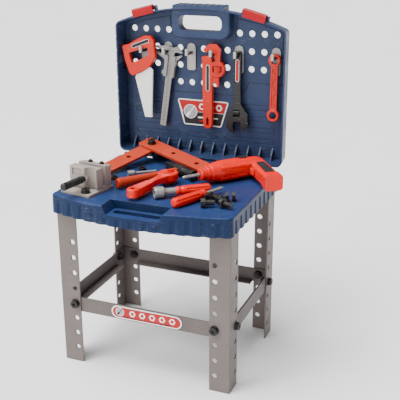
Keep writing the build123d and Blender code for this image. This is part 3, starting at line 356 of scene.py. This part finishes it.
def ring_of(r, count, x, y):
    """Circle, or polygon of count sides, around (x, y)."""
    step = math.tau / count
    return [(x + r * math.cos(k * step), y + r * math.sin(k * step)) for k in range(count)]


def moved(outline, x, y, turn=0.0, k=1.0):
    """An outline scaled by k, turned by some degrees and moved to (x, y)."""
    c, s = math.cos(math.radians(turn)), math.sin(math.radians(turn))
    return [(x + k * (px * c - py * s), y + k * (px * s + py * c)) for px, py in outline]


SCREWDRIVER_SHAPE = [(-14, -3.0), (-13, -3.8), (-3, -3.4), (-1.5, -2.0), (0, -1.2), (12, -1.1),
                     (13, -1.9), (17, -1.2), (17, 1.2), (13, 1.9), (12, 1.1), (0, 1.2), (-1.5, 2.0),
                     (-3, 3.4), (-13, 3.8), (-14, 3.0)]
SCREWDRIVER_TURN = 52


def nut_icon(name, x, y, r, place, body):
    """White hexagon with a red hole, printed on a red field."""
    layer(name + "_nut", ring_of(r, 6, x, y), place, FIELD, FIELD + 0.10, "print_white", body)
    layer(name + "_hole", ring_of(r * 0.5, 20, x, y), place, FIELD, FIELD + 0.16, "print_red", body)


# sign on the lid, over its white edge: red over black, a grey disc with a plain tool, three nuts, two stripes
SIGN = wall(0, 437.5, 173.8)
SIGN_RED = [(-53.5, 24.2), (51.5, 24.2), (44.8, 2.0), (-46.2, 2.0)]
SIGN_BLACK = [(-46.2, 1.2), (44.6, 1.2), (37.0, -24.0), (-40.2, -24.0)]
layer("sign_red", SIGN_RED, SIGN, 0.0, FIELD, "print_red", "lid")
layer("sign_black", SIGN_BLACK, SIGN, 0.0, FIELD, "print_black", "lid")
layer("sign_disc_edge", ring_of(14.6, 44, -28, 1.5), SIGN, 0.0, 0.36, "print_white", "lid")
layer("sign_disc", ring_of(13.4, 44, -28, 1.5), SIGN, 0.0, 0.46, "print_grey", "lid")
sign_tool = moved(SCREWDRIVER_SHAPE, -28.5, 1.0, SCREWDRIVER_TURN, 0.95)
layer("sign_tool", sign_tool, SIGN, 0.0, 0.58, "print_white", "lid")
for k, x in enumerate((-3, 16, 34)):
    nut_icon("sign_upper_%d" % k, x, 13, 7.2, SIGN, "lid")
layer("sign_stripe", moved(stadium(44, 3.0), 10, -9.5), SIGN, 0.0, 0.37, "print_white", "lid")
layer("sign_stripe_low", moved(stadium(30, 2.2), 6, -16.5), SIGN, 0.0, 0.37, "print_red", "lid")

# plate on the front brace, over its white edge: red field, black swash, a disc with a plain tool, five nuts
PLATE = wall(6, 122.8, -125.4)
PLATE_SWASH = [(-50, -6.6), (-20, -8.6), (20, -8.6), (52, -6.4), (44, -9.4), (20, -9.9), (-20, -9.9),
               (-42, -9.4)]
PLATE_NUT_PITCH = 20
layer("plate_red", stadium(136.5, 20.6, 16), PLATE, 0.0, FIELD, "print_red", "bench")
layer("plate_swash", PLATE_SWASH, PLATE, 0.0, 0.34, "print_black", "bench")
layer("plate_disc_edge", ring_of(8.8, 36, -54, 0.6), PLATE, 0.0, 0.36, "print_white", "bench")
layer("plate_disc", ring_of(7.8, 36, -54, 0.6), PLATE, 0.0, 0.46, "print_grey", "bench")
plate_tool = moved(SCREWDRIVER_SHAPE, -54.2, 0.4, SCREWDRIVER_TURN, 0.5)
layer("plate_tool", plate_tool, PLATE, 0.0, 0.58, "print_black", "bench")
for k in range(5):
    nut_icon("plate_%d" % k, -28 + PLATE_NUT_PITCH * k, 0.8, 6.6, PLATE, "bench")


# plain labels on the hanging tools
def label(name, place, outer, inner, ink_name, body):
    """Bar-shaped label with a white edge; outer and inner are (length, width)."""
    layer(name + "_edge", stadium(*outer), place, 0.0, 0.20, "print_white", body)
    layer(name, stadium(*inner), place, 0.0, 0.30, ink_name, body)


label("saw_label", wall(-127.6, 573.6, 152.0, 21), (41, 7.6), (39.6, 6.2), "print_black", "saw")
label("pipe_label", wall(15.4, 513, 158.0, 90), (52, 7.4), (50.6, 6.0), "print_black", "pipe_wrench")
label("adjustable_label", wall(76, 531, 160.7, 90), (44, 7.6), (42.4, 6.0), "print_red", "adjustable_wrench")

# scale marks down the caliper's beam, every second one long
BEAM = wall(-63, 568, 163.8, -8.1)
MARK_COUNT = 30
FIRST_MARK = -38
MARK_PITCH = 4
for k in range(MARK_COUNT):
    reach = 1.3 if k % 2 else 2.6
    mark = box_outline(reach, 0.45, FIRST_MARK - MARK_PITCH * k)
    layer("caliper_mark_%02d" % k, mark, BEAM, 0.0, 0.10, "print_black", "caliper")

# the lid's sealing lip behind the table's rear ledge, between the hinges
LIP = wall(0, 347.7, 144.4)
LIP_THICKNESS = 1.3
layer("lid_lip", box_outline(111.5, 3.7), LIP, 0.0, LIP_THICKNESS, "lid_blue", "lid")

# two dark bolt heads on top of the vise's fixed jaw: a round flange under a hexagon
VISE = Matrix.Translation(at(-122, -92, TABLE_TOP)) @ turned(-9.5, "Z")
VISE_HEAD_Y = 27.5
for name, x in (("vise_head_left", -13), ("vise_head_right", 13)):
    flange, cap = ring_of(4.8, 32, x, VISE_HEAD_Y), ring_of(3.3, 6, x, VISE_HEAD_Y)
    layer(name + "_flange", flange, VISE, 44.2, 46.6, "black", "bench")
    layer(name + "_cap", cap, VISE, 46.4, 48.6, "black", "bench")

# the drill's soft grip runs along most of the handle's upper face
DRILL = Matrix.Translation(at(60, 8, TABLE_TOP + 20.5)) @ turned(51.5, "Z")
DRILL_HANDLE = DRILL @ Matrix.Translation((0.121, 0, 0)) @ turned(-106, "Z")
GRIP_OUTLINE = [(30, -7.0), (88, -8.4), (92.4, -5.0), (92.4, 6.8), (89, 9.2), (32, 8.8), (27, 5.0),
                (27, -3.5)]
layer("drill_grip_skin", GRIP_OUTLINE, DRILL_HANDLE, 13.4, 14.6, "black_soft", "drill")


# ---------------------------------------------------------------- floor, light, camera
def floor_material():
    """Matt pale floor with a faint mottle."""
    g = Graph("floor_white")
    mottle = g.ramp(g.noise(2.2, 3), 0.3, 0.7)
    g.put(g.bsdf.inputs["Base Color"], g.mix(mottle, (0.88, 0.88, 0.88, 1), (0.92, 0.92, 0.92, 1)))
    g.put(g.bsdf.inputs["Roughness"], g.ramp(g.noise(9, 2), 0.3, 0.7, 0.62, 0.74))
    bump = g.add("ShaderNodeBump")
    bump.inputs["Strength"].default_value = 0.05
    g.put(bump.inputs["Height"], g.noise(240, 2))
    g.put(g.bsdf.inputs["Normal"], bump.outputs["Normal"])
    return g.mat


def studio_floor(flat=12.0, rim=30.0, rise=3.6, sides=64, steps=8):
    """Round floor, flat around the bench and rising gently far away, so that no horizon shows."""
    points = [(0.0, 0.0, 0.0)]
    for j in range(steps + 1):
        far = j / steps
        r = flat + (rim - flat) * far
        points += [(r * math.cos(math.tau * k / sides), r * math.sin(math.tau * k / sides), rise * far ** 2)
                   for k in range(sides)]
    faces = [(0, 1 + k, 1 + (k + 1) % sides) for k in range(sides)]
    for j in range(steps):
        a, b = 1 + j * sides, 1 + (j + 1) * sides
        faces += [(a + k, b + k, b + (k + 1) % sides, a + (k + 1) % sides) for k in range(sides)]
    return points, faces


floor_mesh = bpy.data.meshes.new("floor")
floor_points, floor_faces = studio_floor()
floor_mesh.from_pydata(floor_points, [], floor_faces)
floor_mesh.polygons.foreach_set("use_smooth", [True] * len(floor_faces))
floor_mesh.materials.append(floor_material())
floor = bpy.data.objects.new("floor", floor_mesh)
bpy.context.scene.collection.objects.link(floor)

world = bpy.data.worlds.new("studio")
world.use_nodes = True
SKY_STRENGTH = 0.40
background = next(n for n in world.node_tree.nodes if n.type == "BACKGROUND")
background.inputs["Color"].default_value = (1.0, 1.0, 1.0, 1.0)
background.inputs["Strength"].default_value = SKY_STRENGTH
bpy.context.scene.world = world


def add_light(data, place, aim):
    """Put a light at a place (m), shining along a direction."""
    light = bpy.data.objects.new(data.name, data)
    light.location = place
    light.rotation_euler = aim.to_track_quat("-Z", "Y").to_euler()
    bpy.context.scene.collection.objects.link(light)


# softbox at the left, in front of the bench
KEY_PLACE = Vector((-1.6, -2.1, 1.4))
KEY_TARGET = Vector((0.0, 0.0, 0.35))
key = bpy.data.lights.new("key", "AREA")
key.shape = "SQUARE"
key.size = 0.9
key.energy = 34
key.color = (1.0, 0.985, 0.96)
add_light(key, KEY_PLACE, KEY_TARGET - KEY_PLACE)

# wide soft light from above, a little from the front left
canopy = bpy.data.lights.new("canopy", "SUN")
canopy.energy = 6.6
canopy.angle = math.radians(55)
add_light(canopy, (0.0, 0.0, 0.0), Vector((0.30, 0.24, -1.0)))

# camera: where it stands (bench mm), and which way it looks
CAMERA_AT = at(576.4, -1278.6, 812.1)
AZIMUTH, ELEVATION, ROLL = math.radians(22.08), math.radians(19.7), math.radians(-0.16)
camera_data = bpy.data.cameras.new("camera")
camera_data.sensor_width = 36.0
camera_data.lens = 70.85
camera_data.shift_x = 0.0056
camera_data.shift_y = -0.0028
camera_data.clip_start = 0.05
camera = bpy.data.objects.new("camera", camera_data)
camera.location = CAMERA_AT
look = Vector((-math.sin(AZIMUTH) * math.cos(ELEVATION), math.cos(AZIMUTH) * math.cos(ELEVATION),
               -math.sin(ELEVATION)))
aimed = look.to_track_quat("-Z", "Y").to_matrix() @ Matrix.Rotation(ROLL, 3, "Z")
camera.rotation_euler = aimed.to_euler()
bpy.context.scene.collection.objects.link(camera)
bpy.context.scene.camera = camera
